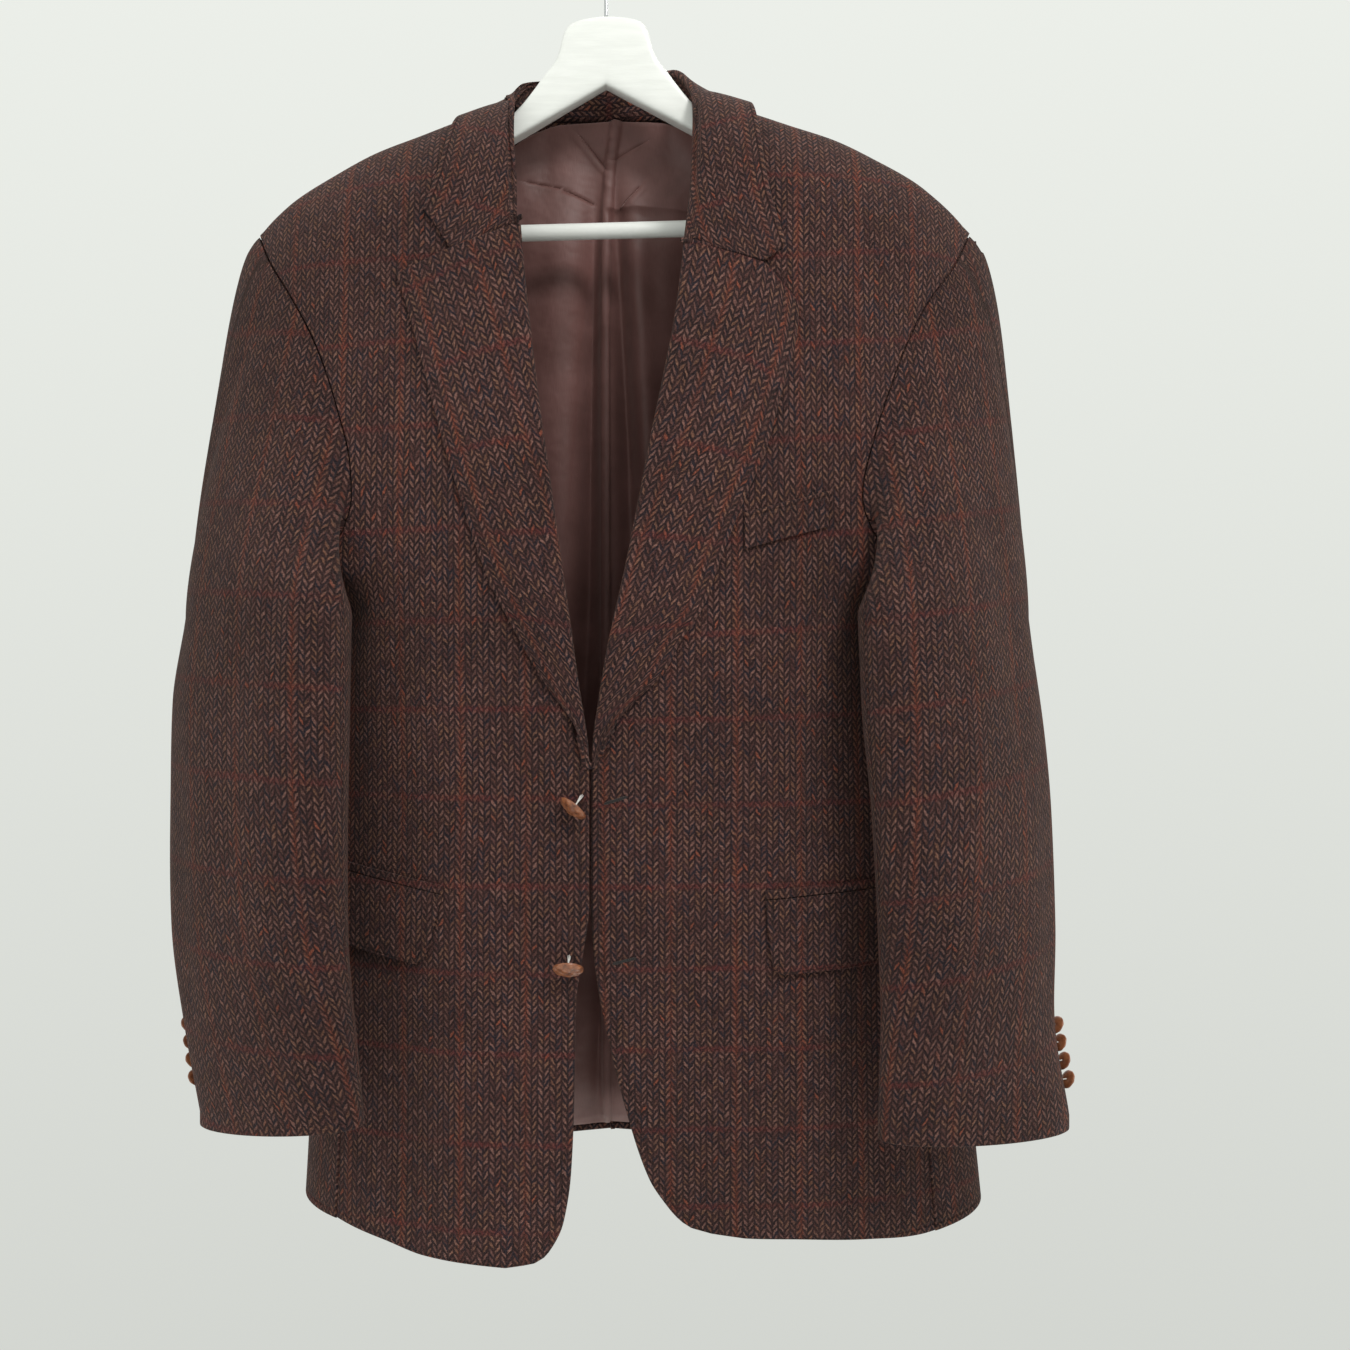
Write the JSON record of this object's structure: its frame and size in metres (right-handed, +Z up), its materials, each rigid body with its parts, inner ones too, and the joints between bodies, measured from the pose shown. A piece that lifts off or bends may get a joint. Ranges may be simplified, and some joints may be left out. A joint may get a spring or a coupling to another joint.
{
  "type": "tweed jacket on hanger",
  "caption": "Single-breasted herringbone tweed hacking jacket with notched lapels, flap pockets and leather buttons, hanging open on a white wooden hanger with a trouser bar.",
  "frame": {"origin": "where a rail bears on the inside of the hanger's hook, at the top of its bend", "axes": "+Z up, +X to the right of someone facing the jacket's front, -Y out of the jacket's front"},
  "size_m": [0.6474, 0.2035, 0.952],
  "materials": {
    "tweed": "brown wool herringbone with a wine and rust windowpane overcheck, hairy matt nap",
    "lining": "mauve-brown satin weave with a soft sheen",
    "button_leather": "polished chestnut leather, plaited on the front buttons",
    "hanger_paint": "white satin paint on wood",
    "hook_steel": "bright plated wire"
  },
  "bodies": {
    "root": {"front_left": "tweed", "back_left": "tweed", "side_left": "tweed", "top_sleeve_left": "tweed", "under_sleeve_left": "tweed", "lapel_left": "tweed", "flap_left": "tweed", "jetting_left": "tweed", "front_right": "tweed", "back_right": "tweed", "side_right": "tweed", "top_sleeve_right": "tweed", "under_sleeve_right": "tweed", "lapel_right": "tweed", "flap_right": "tweed", "jetting_right": "tweed", "collar": "tweed", "breast_welt": "tweed", "front_button_upper": "button_leather", "front_button_lower": "button_leather", "cuff_button_left_1": "button_leather", "cuff_button_left_2": "button_leather", "cuff_button_left_3": "button_leather", "cuff_button_left_4": "button_leather", "cuff_button_right_1": "button_leather", "cuff_button_right_2": "button_leather", "cuff_button_right_3": "button_leather", "cuff_button_right_4": "button_leather", "back_lining": "lining", "hanger_shoulder": "hanger_paint", "hanger_bar": "hanger_paint", "hanger_hook": "hook_steel"}
  },
  "joints": []
}
